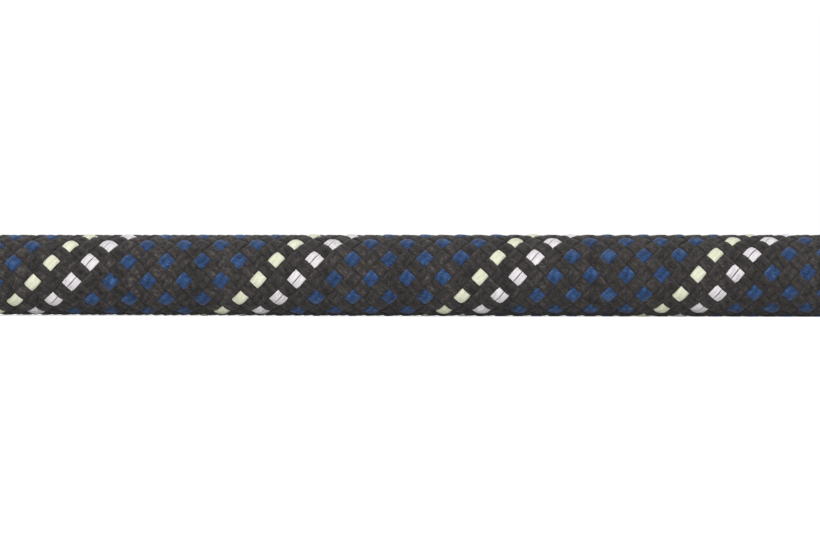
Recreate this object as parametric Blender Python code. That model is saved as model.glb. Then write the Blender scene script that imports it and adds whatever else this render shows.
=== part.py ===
"""A dynamic climbing rope of kernmantle construction, stored as it comes from the shelf.

One straight stretch lies along X. Its cover is a hollow tube over twelve core strands and a
marker tape, and it ends in a fused tip inside a shrunk sleeve. The rest of the rope is wound
into a long hank that lies on the same surface: the outer layer of turns is one unbroken tube
that climbs the outside and spirals in over the top, round a plain core of the turns inside.
A strap holds the hank at its waist.

Metres, +Z up. The origin is at the bottom centre of the whole.
"""

from math import ceil, cos, hypot, pi, sin, sqrt

import bmesh
import bpy
from mathutils import Matrix, Vector

# The rope itself.
ROPE_DIAMETER = 0.010
COVER_WALL = 0.0010
STRAND_DIAMETER = 0.0015
STRAND_CLEARANCE = 0.0002
INNER_STRANDS = 3
OUTER_STRANDS = 9
TAPE_WIDTH = 0.0016
TAPE_THICKNESS = 0.0002
TAPE_CLEARANCE = 0.00018

# The straight stretch, from its free tip to the hank's first turn.
TIP_TO_HANK_SIDE = 0.155
STRETCH_STEP = 2.0 * ROPE_DIAMETER

# The ends: the rope is drawn thinner under the shrunk sleeve, whose outside is flush.
SLEEVE_LENGTH = 0.019
SLEEVE_WALL = 0.00035
SLEEVE_CLEARANCE = 0.00015
NECK_SHOULDER = 0.0006
TIP_LENGTH = 0.0026
TIP_SHOWS = 0.0012
DOME_BLUNTNESS = 0.6

# The hank: turns side by side across it, and layers on top of each other.
TURNS_ACROSS = 7
LAYERS = 12
TURN_PITCH = 0.0117
LAYER_PITCH = 0.0109
INNER_FOLD_RADIUS = 0.030
RUN_LENGTH = 0.172
WAIST_DRAW = 0.010
WAIST_HALF_LENGTH = 0.054
FOLD_POINTS = 7
RUN_POINTS = 5

# The strap round the waist.
STRAP_WIDTH = 0.020
STRAP_THICKNESS = 0.0018
STRAP_ABOVE_FLOOR = 0.0002
TAB_LENGTH = 0.062
TAB_THICKNESS = 0.0016
TAB_CORNER_RADIUS = 0.006

# Pieces that touch on the real rope keep this much between them.
TOUCH_GAP = 0.0003

# How finely round shapes are cut.
STRETCH_BEVEL_RESOLUTION = 4
TURN_BEVEL_RESOLUTION = 1
SLEEVE_SIDES = 24
STRAND_SIDES = 10
DOME_STEPS = 4
STRAP_CORNER_STEPS = 5
TAB_CORNER_STEPS = 4

# Worked out from the sizes above.
ROPE_RADIUS = ROPE_DIAMETER / 2
BORE_RADIUS = ROPE_RADIUS - COVER_WALL
NECK_RADIUS = ROPE_RADIUS - SLEEVE_WALL - SLEEVE_CLEARANCE
OUTER_FOLD_RADIUS = INNER_FOLD_RADIUS + (TURNS_ACROSS - 1) * TURN_PITCH
HALF_RUN = RUN_LENGTH / 2
FOLD_REACH = OUTER_FOLD_RADIUS * cos(pi / (2 * FOLD_POINTS)) + ROPE_RADIUS
HANK_HALF_LENGTH = HALF_RUN + FOLD_REACH
WHOLE_LENGTH = TIP_TO_HANK_SIDE + 2 * HANK_HALF_LENGTH
HANK_X = WHOLE_LENGTH / 2 - HANK_HALF_LENGTH
FREE_TIP_X = -WHOLE_LENGTH / 2
STRETCH_Y = -OUTER_FOLD_RADIUS
JOIN_X = HANK_X - HALF_RUN
TOP_LAYER_Z = ROPE_RADIUS + (LAYERS - 1) * LAYER_PITCH
WAIST_FLAT = HALF_RUN / RUN_POINTS
WAIST_LIFT = STRAP_ABOVE_FLOOR + STRAP_THICKNESS + TOUCH_GAP

BLACK_YARN = (0.035, 0.034, 0.037, 1.0)
WHITE_NYLON = (0.78, 0.77, 0.72, 1.0)
TAPE_YELLOW = (0.80, 0.62, 0.10, 1.0)
MELTED_BLACK = (0.015, 0.015, 0.017, 1.0)
SLEEVE_BLACK = (0.022, 0.022, 0.024, 1.0)
STRAP_GREY = (0.060, 0.062, 0.068, 1.0)


def clear_scene():
    for thing in list(bpy.data.objects):
        bpy.data.objects.remove(thing, do_unlink=True)


def finish(name, colour, roughness):
    material = bpy.data.materials.new(name)
    material.use_nodes = True
    shader = material.node_tree.nodes["Principled BSDF"]
    shader.inputs["Base Color"].default_value = colour
    shader.inputs["Roughness"].default_value = roughness
    shader.inputs["Metallic"].default_value = 0.0
    return material


def add_object(name, data, material):
    thing = bpy.data.objects.new(name, data)
    bpy.context.scene.collection.objects.link(thing)
    data.materials.clear()
    data.materials.append(material)
    return thing


def add_mesh(name, bm, material, smooth_below=pi / 5):
    bmesh.ops.recalc_face_normals(bm, faces=bm.faces)
    mesh = bpy.data.meshes.new(name)
    bm.to_mesh(mesh)
    bm.free()
    mesh.shade_smooth()
    mesh.set_sharp_from_angle(angle=smooth_below)
    return add_object(name, mesh, material)


def tube_curve(name, points, radius, bevel_resolution, factors=None):
    """An unbroken round tube with closed ends along a list of points."""
    curve = bpy.data.curves.new(name, "CURVE")
    curve.dimensions = "3D"
    curve.bevel_depth = radius
    curve.bevel_resolution = bevel_resolution
    curve.use_fill_caps = True
    spline = curve.splines.new("POLY")
    spline.points.add(len(points) - 1)
    for place, point in zip(spline.points, points):
        place.co = (*point, 1.0)
    for place, factor in zip(spline.points, factors or [1.0] * len(points)):
        place.radius = factor
    spline.use_smooth = True
    return curve


def turned(profile, sides):
    """A closed solid turned about the X axis from (x, radius) pairs that form a loop."""
    bm = bmesh.new()
    corners = [bm.verts.new((x, 0.0, radius)) for x, radius in profile]
    edges = [bm.edges.new(pair) for pair in zip(corners, corners[1:] + corners[:1])]
    bmesh.ops.spin(
        bm,
        geom=corners + edges,
        cent=(0, 0, 0),
        axis=(1, 0, 0),
        angle=2 * pi,
        steps=sides,
        use_merge=True,
    )
    on_axis = [corner for corner in bm.verts if hypot(corner.co.y, corner.co.z) < 1e-7]
    bmesh.ops.remove_doubles(bm, verts=on_axis, dist=1e-7)
    slivers = [edge for edge in bm.edges if edge.calc_length() < 1e-8]
    bmesh.ops.dissolve_degenerate(bm, dist=1e-8, edges=slivers)
    return bm


# ---- the straight stretch -------------------------------------------------------------


def stretch_points():
    """The stretch's axis, every second diameter, with its neck under the sleeve."""
    start = FREE_TIP_X + TIP_LENGTH + TOUCH_GAP
    neck_end = FREE_TIP_X + SLEEVE_LENGTH
    full_from = neck_end + NECK_SHOULDER
    end = JOIN_X - TOUCH_GAP / 2
    steps = ceil((end - full_from) / STRETCH_STEP)
    xs = [start, neck_end] + [full_from + (end - full_from) * i / steps for i in range(steps + 1)]
    neck = NECK_RADIUS / ROPE_RADIUS
    factors = [neck, neck] + [1.0] * (steps + 1)
    return [(x, STRETCH_Y, ROPE_RADIUS) for x in xs], factors


def add_cover(material):
    """The hollow cover: a tube along the stretch, with the core's bore cut out of it."""
    points, factors = stretch_points()
    outside = tube_curve("cover_outside", points, ROPE_RADIUS, STRETCH_BEVEL_RESOLUTION, factors)
    guide = bpy.data.objects.new("cover_outside", outside)
    bpy.context.scene.collection.objects.link(guide)
    bpy.context.view_layer.update()
    evaluated = guide.evaluated_get(bpy.context.evaluated_depsgraph_get())
    mesh = bpy.data.meshes.new_from_object(evaluated)
    bpy.data.objects.remove(guide, do_unlink=True)
    bpy.data.curves.remove(outside)
    mesh.shade_smooth()
    cover = add_object("sheath_stretch", mesh, material)

    start, end = points[0][0], points[-1][0]
    spare = ROPE_DIAMETER
    bm = bmesh.new()
    bmesh.ops.create_cone(
        bm,
        cap_ends=True,
        segments=SLEEVE_SIDES,
        radius1=BORE_RADIUS,
        radius2=BORE_RADIUS,
        depth=end - start + 2 * spare,
        matrix=Matrix.Translation(((start + end) / 2, STRETCH_Y, ROPE_RADIUS))
        @ Matrix.Rotation(pi / 2, 4, "Y"),
    )
    cutter = add_mesh("core_bore", bm, material)
    cutter.hide_render = True
    cutter.display_type = "WIRE"
    cut = cover.modifiers.new("core_bore", "BOOLEAN")
    cut.operation = "DIFFERENCE"
    cut.solver = "EXACT"
    cut.object = cutter
    return cover


def strand_places():
    """Three strands round the middle and nine round those, as (y, z) from the rope's axis."""
    pitch = STRAND_DIAMETER + STRAND_CLEARANCE
    inner = pitch / (2 * sin(pi / INNER_STRANDS))
    half_step = pi / OUTER_STRANDS
    outer = inner * cos(half_step) + sqrt(pitch**2 - (inner * sin(half_step)) ** 2)
    outer = max(outer, pitch / (2 * sin(pi / OUTER_STRANDS)))
    places = [(inner, 2 * pi * i / INNER_STRANDS) for i in range(INNER_STRANDS)]
    places += [(outer, 2 * pi * i / OUTER_STRANDS + half_step) for i in range(OUTER_STRANDS)]
    return [(radius * cos(angle), radius * sin(angle)) for radius, angle in places], outer


def core_span():
    return FREE_TIP_X + TIP_LENGTH + TOUCH_GAP, JOIN_X - TOUCH_GAP / 2


def add_core_strands(material):
    start, end = core_span()
    places, _ = strand_places()
    for number, (across, up) in enumerate(places):
        ring = "inner" if number < INNER_STRANDS else "outer"
        count = number if ring == "inner" else number - INNER_STRANDS
        bm = bmesh.new()
        bmesh.ops.create_cone(
            bm,
            cap_ends=True,
            segments=STRAND_SIDES,
            radius1=STRAND_DIAMETER / 2,
            radius2=STRAND_DIAMETER / 2,
            depth=end - start,
            matrix=Matrix.Rotation(pi / 2, 4, "Y"),
        )
        strand = add_mesh(f"core_strand_{ring}_{count + 1}", bm, material)
        strand.location = ((start + end) / 2, STRETCH_Y + across, ROPE_RADIUS + up)


def add_marker_tape(material):
    """A ribbon that lies on top of the outer strands, under the cover."""
    start, end = core_span()
    _, ring_radius = strand_places()
    low = ring_radius + STRAND_DIAMETER / 2 + TAPE_CLEARANCE
    bm = bmesh.new()
    bmesh.ops.create_cube(bm, size=1.0)
    size = Matrix.Diagonal((end - start, TAPE_WIDTH, TAPE_THICKNESS, 1.0))
    bmesh.ops.transform(bm, matrix=size, verts=bm.verts)
    tape = add_mesh("marker_tape", bm, material)
    tape.location = ((start + end) / 2, STRETCH_Y, ROPE_RADIUS + low + TAPE_THICKNESS / 2)


# ---- the ends -------------------------------------------------------------------------


def add_end(names, place, outward, sleeve_material, tip_material):
    """A shrunk sleeve and the melted tip in its mouth. place is the tip's outermost point,
    and outward is +1 or -1 along X."""
    length = SLEEVE_LENGTH
    inside = ROPE_RADIUS - SLEEVE_WALL
    rim = ROPE_RADIUS - SLEEVE_WALL / 3
    sleeve = [
        (-TIP_SHOWS, inside),
        (-length, inside),
        (-length, rim),
        (-length + SLEEVE_WALL, ROPE_RADIUS),
        (-TIP_SHOWS - SLEEVE_WALL, ROPE_RADIUS),
        (-TIP_SHOWS, rim),
    ]
    dome = [
        (-TIP_LENGTH * (1 - sin(turn)), NECK_RADIUS * cos(turn) ** DOME_BLUNTNESS)
        for turn in (pi / 2 * step / DOME_STEPS for step in range(DOME_STEPS))
    ]
    tip = [(0.0, 0.0), (-TIP_LENGTH, 0.0), *dome]
    pieces = ((names[0], sleeve, sleeve_material), (names[1], tip, tip_material))
    for name, profile, material in pieces:
        bm = turned([(outward * x, radius) for x, radius in profile], SLEEVE_SIDES)
        piece = add_mesh(name, bm, material)
        piece.location = place


# ---- the hank -------------------------------------------------------------------------


def waist(x):
    """How much of the waist is felt at x along the hank: 1 at the strap, 0 at the folds."""
    out = (abs(x) - WAIST_FLAT) / (WAIST_HALF_LENGTH - WAIST_FLAT)
    return (1 + cos(pi * min(max(out, 0.0), 1.0))) / 2


def on_turn(radius, height, leg, share):
    """A point on one turn of the hank. leg counts front run, right fold, back run and left
    fold, share is how far along the leg, and radius is the turn's radius at its folds."""
    if leg == 0:
        x, y = -HALF_RUN + RUN_LENGTH * share, -radius
    elif leg == 1:
        turn = -pi / 2 + pi * share
        x, y = HALF_RUN + radius * cos(turn), radius * sin(turn)
    elif leg == 2:
        x, y = HALF_RUN - RUN_LENGTH * share, radius
    else:
        turn = pi / 2 + pi * share
        x, y = -HALF_RUN + radius * cos(turn), radius * sin(turn)
    felt = waist(x) if leg in (0, 2) else 0.0
    side = -1 if leg == 0 else 1
    return Vector((HANK_X + x, y - side * WAIST_DRAW * felt, height + WAIST_LIFT * felt))


def leg_shares():
    """One turn's points, as (leg, share), from the start of the front run."""
    shares = []
    for leg in range(4):
        steps = RUN_POINTS if leg in (0, 2) else FOLD_POINTS
        shares += [(leg, step / steps) for step in range(steps)]
    return shares


def eased(share):
    share = min(max(share, 0.0), 1.0)
    return share * share * (3 - 2 * share)


def outer_turns():
    """The outer layer's centreline. It climbs the outside, a layer along each back run, then
    spirals in over the top at a steady rate, and ends in a straight neck on the last back run."""
    shares = leg_shares()
    run_x = [HALF_RUN - RUN_LENGTH * step / RUN_POINTS for step in range(RUN_POINTS)]
    drift_from = shares.index((2, RUN_POINTS // 2 / RUN_POINTS))
    stops_at = sum(x > ROPE_RADIUS - WAIST_HALF_LENGTH for x in run_x) - 1
    first = (LAYERS - 2) * len(shares) + drift_from
    last = first + (TURNS_ACROSS - 1) * len(shares) + stops_at - RUN_POINTS // 2
    points = []
    for number in range(last + 1):
        turn, place = divmod(number, len(shares))
        leg, share = shares[place]
        climbed = 0.0 if leg < 2 else eased(2 * share) if leg == 2 else 1.0
        height = ROPE_RADIUS + LAYER_PITCH * min(turn + climbed, LAYERS - 1)
        inward = max(number - first, 0) / (last - first)
        radius = OUTER_FOLD_RADIUS - (OUTER_FOLD_RADIUS - INNER_FOLD_RADIUS) * inward
        points.append(on_turn(radius, height, leg, share))
    points[0].x += TOUCH_GAP / 2

    full_end = HANK_X - WAIST_HALF_LENGTH
    neck_start = full_end - NECK_SHOULDER
    tip = Vector((neck_start - SLEEVE_LENGTH, INNER_FOLD_RADIUS, TOP_LAYER_Z))
    factors = [1.0] * (len(points) + 1)
    for x in (full_end, neck_start, tip.x + TIP_LENGTH + TOUCH_GAP):
        points.append(Vector((x, INNER_FOLD_RADIUS, TOP_LAYER_Z)))
    factors += [NECK_RADIUS / ROPE_RADIUS] * 2
    return points, factors, tip


def least_gap(points):
    """The least distance between two turns of the tube, surface to surface."""
    samples = []
    along = 0.0
    for here, there in zip(points, points[1:]):
        steps = max(1, ceil((there - here).length / (ROPE_RADIUS / 2)))
        for step in range(steps):
            samples.append((along + (there - here).length * step / steps, here.lerp(there, step / steps)))
        along += (there - here).length
    cell = ROPE_DIAMETER * 1.5
    grid = {}
    for number, (_, point) in enumerate(samples):
        grid.setdefault(tuple(int(c // cell) for c in point), []).append(number)
    nearest = 1.0
    for number, (reached, point) in enumerate(samples):
        home = [int(c // cell) for c in point]
        for i in (-1, 0, 1):
            for j in (-1, 0, 1):
                for k in (-1, 0, 1):
                    for other in grid.get((home[0] + i, home[1] + j, home[2] + k), ()):
                        if samples[other][0] - reached > 6 * ROPE_DIAMETER:
                            nearest = min(nearest, (samples[other][1] - point).length)
    return nearest - ROPE_DIAMETER


def add_outer_turns(material):
    points, factors, tip = outer_turns()
    curve = tube_curve("hank_outer_turns", points, ROPE_RADIUS, TURN_BEVEL_RESOLUTION, factors)
    add_object("hank_outer_turns", curve, material)
    print(f"least gap between the hank's turns: {least_gap(points) * 1000:.2f} mm")
    return tip


def add_hank_core(material):
    """The turns inside the outer layer, as one plain ring with the hank's slot through it."""
    inside = INNER_FOLD_RADIUS - ROPE_RADIUS
    outside = OUTER_FOLD_RADIUS - ROPE_RADIUS - TOUCH_GAP
    top = TOP_LAYER_Z - ROPE_RADIUS - TOUCH_GAP
    bm = bmesh.new()
    rings = []
    corners = ((outside, 0.0), (outside, top), (inside, top), (inside, 0.0))
    for leg, share in leg_shares():
        rings.append([bm.verts.new(on_turn(radius, z, leg, share)) for radius, z in corners])
    for here, there in zip(rings, rings[1:] + rings[:1]):
        for corner in range(4):
            after = (corner + 1) % 4
            bm.faces.new((here[corner], here[after], there[after], there[corner]))
    return add_mesh("hank_core", bm, material)


# ---- the strap ------------------------------------------------------------------------


def strap_outline(offset, low):
    """The strap's section round the waist, offset out from the turns, as (y, z) points."""
    half_width = OUTER_FOLD_RADIUS - WAIST_DRAW + ROPE_RADIUS + TOUCH_GAP + offset
    high = TOP_LAYER_Z + WAIST_LIFT + ROPE_RADIUS + TOUCH_GAP + offset
    corner = ROPE_RADIUS + TOUCH_GAP + offset
    outline = []
    centres = (
        (half_width - corner, low + corner, -pi / 2),
        (half_width - corner, high - corner, 0.0),
        (-half_width + corner, high - corner, pi / 2),
        (-half_width + corner, low + corner, pi),
    )
    for y, z, start in centres:
        for step in range(STRAP_CORNER_STEPS + 1):
            angle = start + pi / 2 * step / STRAP_CORNER_STEPS
            outline.append((y + corner * cos(angle), z + corner * sin(angle)))
    return outline


def add_strap(material):
    """A closed band of webbing, standing on edge across the hank."""
    outer = strap_outline(STRAP_THICKNESS, STRAP_ABOVE_FLOOR)
    inner = strap_outline(0.0, STRAP_ABOVE_FLOOR + STRAP_THICKNESS)
    bm = bmesh.new()
    rows = []
    for side in (-STRAP_WIDTH / 2, STRAP_WIDTH / 2):
        rows.append([bm.verts.new((HANK_X + side, y, z)) for y, z in outer])
        rows.append([bm.verts.new((HANK_X + side, y, z)) for y, z in inner])
    near_outer, near_inner, far_outer, far_inner = rows
    count = len(outer)
    for here in range(count):
        after = (here + 1) % count
        bm.faces.new((near_outer[here], near_outer[after], near_inner[after], near_inner[here]))
        bm.faces.new((far_outer[here], far_inner[here], far_inner[after], far_outer[after]))
        bm.faces.new((near_outer[here], far_outer[here], far_outer[after], near_outer[after]))
        bm.faces.new((near_inner[here], near_inner[after], far_inner[after], far_inner[here]))
    return add_mesh("tie_strap", bm, material)


def add_strap_tab(material):
    """The strap's hooked end, which lies over the band on top of the hank."""
    low = TOP_LAYER_Z + WAIST_LIFT + ROPE_RADIUS + TOUCH_GAP + STRAP_THICKNESS + TOUCH_GAP
    bm = bmesh.new()
    bmesh.ops.create_cube(bm, size=1.0)
    size = Matrix.Diagonal((STRAP_WIDTH, TAB_LENGTH, TAB_THICKNESS, 1.0))
    bmesh.ops.transform(bm, matrix=size, verts=bm.verts)
    upright = [edge for edge in bm.edges if abs(edge.verts[0].co.z - edge.verts[1].co.z) > 1e-6]
    bmesh.ops.bevel(
        bm,
        geom=[edge for edge in upright if edge.verts[0].co.y < 0],
        offset=TAB_CORNER_RADIUS,
        segments=TAB_CORNER_STEPS,
        profile=0.5,
        affect="EDGES",
        material=-1,
    )
    tab = add_mesh("tie_hook_tab", bm, material)
    tab.location = (HANK_X, 0.0, low + TAB_THICKNESS / 2)
    return tab


def build():
    clear_scene()
    cover = finish("black_cover_yarn", BLACK_YARN, 0.8)
    strand = finish("white_core_nylon", WHITE_NYLON, 0.6)
    tape = finish("marker_tape_film", TAPE_YELLOW, 0.4)
    melted = finish("melted_nylon", MELTED_BLACK, 0.35)
    sleeve = finish("shrunk_sleeve", SLEEVE_BLACK, 0.45)
    webbing = finish("strap_webbing", STRAP_GREY, 0.85)

    add_cover(cover)
    add_core_strands(strand)
    add_marker_tape(tape)
    free_tip = Vector((FREE_TIP_X, STRETCH_Y, ROPE_RADIUS))
    add_end(("free_end_sleeve", "free_end_tip"), free_tip, -1, sleeve, melted)
    wound_tip = add_outer_turns(cover)
    add_hank_core(cover)
    add_end(("wound_end_sleeve", "wound_end_tip"), wound_tip, -1, sleeve, melted)
    add_strap(webbing)
    add_strap_tab(webbing)


build()
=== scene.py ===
"""The looks of a dynamic climbing rope.

A straight stretch of the braided rope lies in front of the camera, with its cover made yarn by
yarn. The rest of its sixty metres is wound into a hank beside it, held by a strap.
"""

from math import atan2, cos, hypot, pi, sin, sqrt
from random import Random

import bmesh
import bpy
from mathutils import Matrix, Vector


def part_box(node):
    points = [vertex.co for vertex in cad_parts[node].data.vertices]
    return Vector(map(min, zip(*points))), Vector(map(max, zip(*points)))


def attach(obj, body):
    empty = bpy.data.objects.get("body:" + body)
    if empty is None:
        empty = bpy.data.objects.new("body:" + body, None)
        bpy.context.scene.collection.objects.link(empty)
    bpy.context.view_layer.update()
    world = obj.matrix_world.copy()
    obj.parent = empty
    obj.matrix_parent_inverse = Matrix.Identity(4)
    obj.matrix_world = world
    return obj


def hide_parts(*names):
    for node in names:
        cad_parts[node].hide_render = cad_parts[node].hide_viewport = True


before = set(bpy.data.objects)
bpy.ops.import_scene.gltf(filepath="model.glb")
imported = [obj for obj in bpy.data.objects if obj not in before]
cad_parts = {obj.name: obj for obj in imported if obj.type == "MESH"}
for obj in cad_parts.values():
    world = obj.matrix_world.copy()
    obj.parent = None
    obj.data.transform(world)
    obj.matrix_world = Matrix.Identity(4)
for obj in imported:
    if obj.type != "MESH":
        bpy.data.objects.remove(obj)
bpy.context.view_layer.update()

BODY = "root"

# The rope, as the frame has it.
ROPE_RADIUS = 0.005
TOUCH_GAP = 0.0003
TIP_LOW, TIP_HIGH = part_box("free_end_tip")
SHEATH_LOW, SHEATH_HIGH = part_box("sheath_stretch")
STRAP_LOW, STRAP_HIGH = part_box("tie_strap")
TAB_LOW, TAB_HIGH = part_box("tie_hook_tab")
SLEEVE_LOW, SLEEVE_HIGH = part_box("free_end_sleeve")
WOUND_TIP_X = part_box("wound_end_tip")[0].x
FREE_TIP_X = TIP_LOW.x
STRETCH_Y = (SHEATH_LOW.y + SHEATH_HIGH.y) / 2
CORD_START_X = SLEEVE_LOW.x + ROPE_RADIUS / 2
JOIN_X = SHEATH_HIGH.x + TOUCH_GAP / 2
HANK_X = (STRAP_LOW.x + STRAP_HIGH.x) / 2
HALF_RUN = HANK_X - JOIN_X

# The hank's winding. Steps are stations of the route, and the spiral over the top starts a few
# of them into a back run, as the last climb there comes to its end.
TURNS_ACROSS = 7
LAYERS = 12
TURN_PITCH = 0.0117
LAYER_PITCH = 0.0109
OUTER_FOLD_RADIUS = -STRETCH_Y
INNER_FOLD_RADIUS = OUTER_FOLD_RADIUS - (TURNS_ACROSS - 1) * TURN_PITCH
WAIST_DRAW = 0.010
WAIST_HALF_LENGTH = 0.054
WAIST_FLAT = HALF_RUN / 5
WAIST_LIFT = 0.0023
TOP_LAYER_Z = ROPE_RADIUS + (LAYERS - 1) * LAYER_PITCH
FRONT_RUN, RIGHT_FOLD, BACK_RUN, LEFT_FOLD = range(4)
RUN_STEPS = 14
FOLD_STEPS = 20
TURN_STEPS = 2 * (RUN_STEPS + FOLD_STEPS)
SPIRAL_DELAY = RUN_STEPS * 2 // 5
TUBE_SIDES = 16

# The picture: how far past the free tip its middle lies, and what it takes in at the rope.
VIEW_FROM_TIP = 0.0785
VIEW_X = FREE_TIP_X + VIEW_FROM_TIP
VIEW_WIDTH = 0.10186
VIEW_RISE = 0.00012
CAMERA_DISTANCE = 0.70
CAMERA_ROLL = -0.0014
SENSOR_WIDTH = 36.0
NEAREST_SEEN = 0.01

# The light: an even sky, a pale floor and soft lamps, each lamp with its place, size and watts.
SKY_COLOUR = (0.98, 0.985, 1.0, 1.0)
SKY_STRENGTH = 0.66
WHITE = (1.0, 1.0, 1.0, 1.0)
UNLIT = (0.0, 0.0, 0.0, 1.0)
FLOOR_COLOUR = (0.95, 0.95, 0.95, 1.0)
FLOOR_GLOW = (0.34, 0.34, 0.34, 1.0)
FLOOR_REACH = 6.0
LAMPS = (
    ("soft_front", (VIEW_X, STRETCH_Y - 0.72, 1.03), 1.0, 5.4),
    ("soft_low", (VIEW_X, STRETCH_Y - 0.9, 0.06), 0.1, 3.2),
    ("soft_back", (0.3, 1.2, 1.0), 1.2, 3.6),
)

# The ends: a shrunk sleeve, and the melted tip in its mouth with its lumps.
END_SIDES = 72
END_STEPS = 36
SLEEVE_WALL = 0.00035
SLEEVE_REACH = SLEEVE_HIGH.x - FREE_TIP_X
NECK_RADIUS = ROPE_RADIUS - 0.0005
TIP_SHOWS = SLEEVE_LOW.x - FREE_TIP_X
TIP_LENGTH = TIP_HIGH.x - TIP_LOW.x
BRAID_PRINT = 0.00009
DOME_STEPS = END_SIDES // 4
DOME_FULLNESS = 0.6
LUMP_WAVES = 6
LUMPS_ROUND = (2, 7)
LUMP_RATES = (300, 1500)
LUMP_HEIGHT = 0.00005
MELTED_AWAY = 0.0001

# The strap, its hooked end and the stitches in it.
STRAP_WIDTH = STRAP_HIGH.x - STRAP_LOW.x
STRAP_THICKNESS = 0.0018
STRAP_STEP = 0.0012
STRAP_SAG = 0.0004
STRAP_SQUARENESS = 6.0
STRAP_POINTS = 28
CORNER_STEPS = 8
FACES_FLAT = 0.99
TAB_CORNER_RADIUS = 0.006
TAB_CORNER_CUT = 0.999
TAB_STEPS = 80
TAB_TIP_THICKNESS = 0.35
STITCH_BOX_STARTS = 0.019
STITCH_BOX_ENDS = 0.004
STITCH_MARGIN = 0.0035
STITCH_LENGTH = 0.0024
STITCH_PITCH = 0.0034
STITCH_THICKNESS = 0.0007
STITCH_SHIFT = 0.06
STITCH_SUNK = 0.4
STITCH_DIVE = 1.7
STITCH_TAPER = 0.3
STITCH_FLATNESS = 0.7
STITCH_STEPS = 6
STITCH_POINTS = 8

# The braid: twelve yarns wind up to the right and twelve wind down, one over and one under. A
# family's law holds its bend, its rate in carriers a metre and its start.
CARRIERS = 12
CREAM_NUMBER = 0
WHITE_NUMBER = 10
HALF_VIEW = VIEW_WIDTH / 2
UP_LAW = (137.7, 445.2, 8.021)
DOWN_LAW = (-123.2, -434.1, -0.282)
YARN_CENTRE = 0.00460
YARN_LIFT = 0.00021
YARN_SPREAD = 0.02
TAPE_RAISED = 0.00005
FILM_RAISED = 0.0001
FILM_SPREAD = -0.06
FILM_ASIDE = 0.00047
FILM_LEAN = 0.25
RINGS_PER_CROSSING = 5
CROSSINGS_PER_METRE = 874
WANDER_WAVES = 3
WANDER_RATES = (300, 900)
WANDER_SIZES = (0.006, 0.02)
SEED = 24

# How the cover lies on the rope, and how it goes under the sleeve and into the wound rope.
SWELL = 0.30
RESTS_AT = 0.00002
CREST_LIFT = 0.00008
COVER_SKEW = 0.00014
COVER_BUNCHING = 0.00013
BUNCHED_AT = 7.3
SINK = 0.0006
SINK_LENGTH = 0.005
SLEEVE_TAPER = 0.004
UNDER_SLEEVE = 0.003
SHORT_OF_JOIN = 0.0005

# The rope's own tube: thin under the modelled yarns, full where it is wound, and thin again
# under the wound end's sleeve.
STRETCH_RINGS = 24
THIN_RADIUS = 0.0042
JOIN_RADIUS = ROPE_RADIUS - 0.0002
MOUTH_RADIUS = ROPE_RADIUS - 0.0001
SLEEVED_RADIUS = ROPE_RADIUS - 0.0004
MOUTH_LENGTH = 0.001
STOPS_BEHIND_TIP = 0.0026

# Directions, and the distances under which corners count as one, as on the axis or as no edge.
RIGHT = Vector((1, 0, 0))
BACK = Vector((0, 1, 0))
UP = Vector((0, 0, 1))
SAME_POINT = 1e-7
ON_AXIS = 1e-6
NO_LENGTH = 1e-8


def srgb(red, green, blue):
    """A colour as a screen shows it, 0 to 255 a channel, turned into the shader's scale."""
    scaled = [channel / 255 for channel in (red, green, blue)]
    linear = [s / 12.92 if s <= 0.04045 else ((s + 0.055) / 1.055) ** 2.4 for s in scaled]
    return (*linear, 1.0)


# ---- mesh helpers -----------------------------------------------------------------------


def place_in_scene(name, bm, material, smooth=True):
    mesh = bpy.data.meshes.new(name)
    bm.to_mesh(mesh)
    bm.free()
    if smooth:
        mesh.shade_smooth()
    mesh.materials.append(material)
    piece = bpy.data.objects.new(name, mesh)
    bpy.context.scene.collection.objects.link(piece)
    return piece


def sweep(bm, poses, sections):
    """Adds a closed skin over sections that are carried along poses. Each pose's X runs across
    the section, its Y out of it and its Z along. The UV map holds the share of the way round
    and the metres along."""
    around, along = len(sections[0]), len(poses) - 1
    measure = [0.0]
    for here, there in zip(poses, poses[1:]):
        measure.append(measure[-1] + (there.translation - here.translation).length)
    layer = bm.loops.layers.uv.verify()
    grid = bmesh.ops.create_grid(bm, x_segments=around, y_segments=along, size=0.5, calc_uvs=True)
    skin = grid["verts"]
    for number, corner in enumerate(skin):
        ring, place = divmod(number, around + 1)
        corner.co = poses[ring] @ sections[ring][place % around]
    for face in {face for corner in skin for face in corner.link_faces}:
        for loop in face.loops:
            share, row = loop[layer].uv
            loop[layer].uv = (share, measure[round(row * along)])
    seam = [corner for number, corner in enumerate(skin) if number % (around + 1) in (0, around)]
    bmesh.ops.remove_doubles(bm, verts=seam, dist=SAME_POINT)
    ends = [edge for edge in bm.edges if edge.is_boundary]
    bmesh.ops.holes_fill(bm, edges=ends, sides=0)
    return measure[-1]


def oval(width, crown, belly, squareness, points=12):
    """A flattened oval section: crown above, belly beneath. 2 is an ellipse, more is boxier."""
    section = []
    for step in range(points):
        angle = 2 * pi * step / points
        across = width / 2 * power(cos(angle), 2 / squareness)
        out = (crown if sin(angle) > 0 else belly) * power(sin(angle), 2 / squareness)
        section.append(Vector((across, out, 0)))
    return section


def power(value, exponent):
    return abs(value) ** exponent * (1 if value >= 0 else -1)


def pose(centre, across, out, along):
    turn = Matrix((across, out, along)).transposed().to_4x4()
    return Matrix.Translation(centre) @ turn


# ---- shader helpers ---------------------------------------------------------------------


def node(tree, kind, inputs=None, **settings):
    """A new node. inputs maps socket names or numbers to values or to other sockets."""
    made = tree.nodes.new(kind)
    for name, value in settings.items():
        setattr(made, name, value)
    for name, value in (inputs or {}).items():
        if isinstance(value, bpy.types.NodeSocket):
            tree.links.new(value, made.inputs[name])
        else:
            made.inputs[name].default_value = value
    return made


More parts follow.
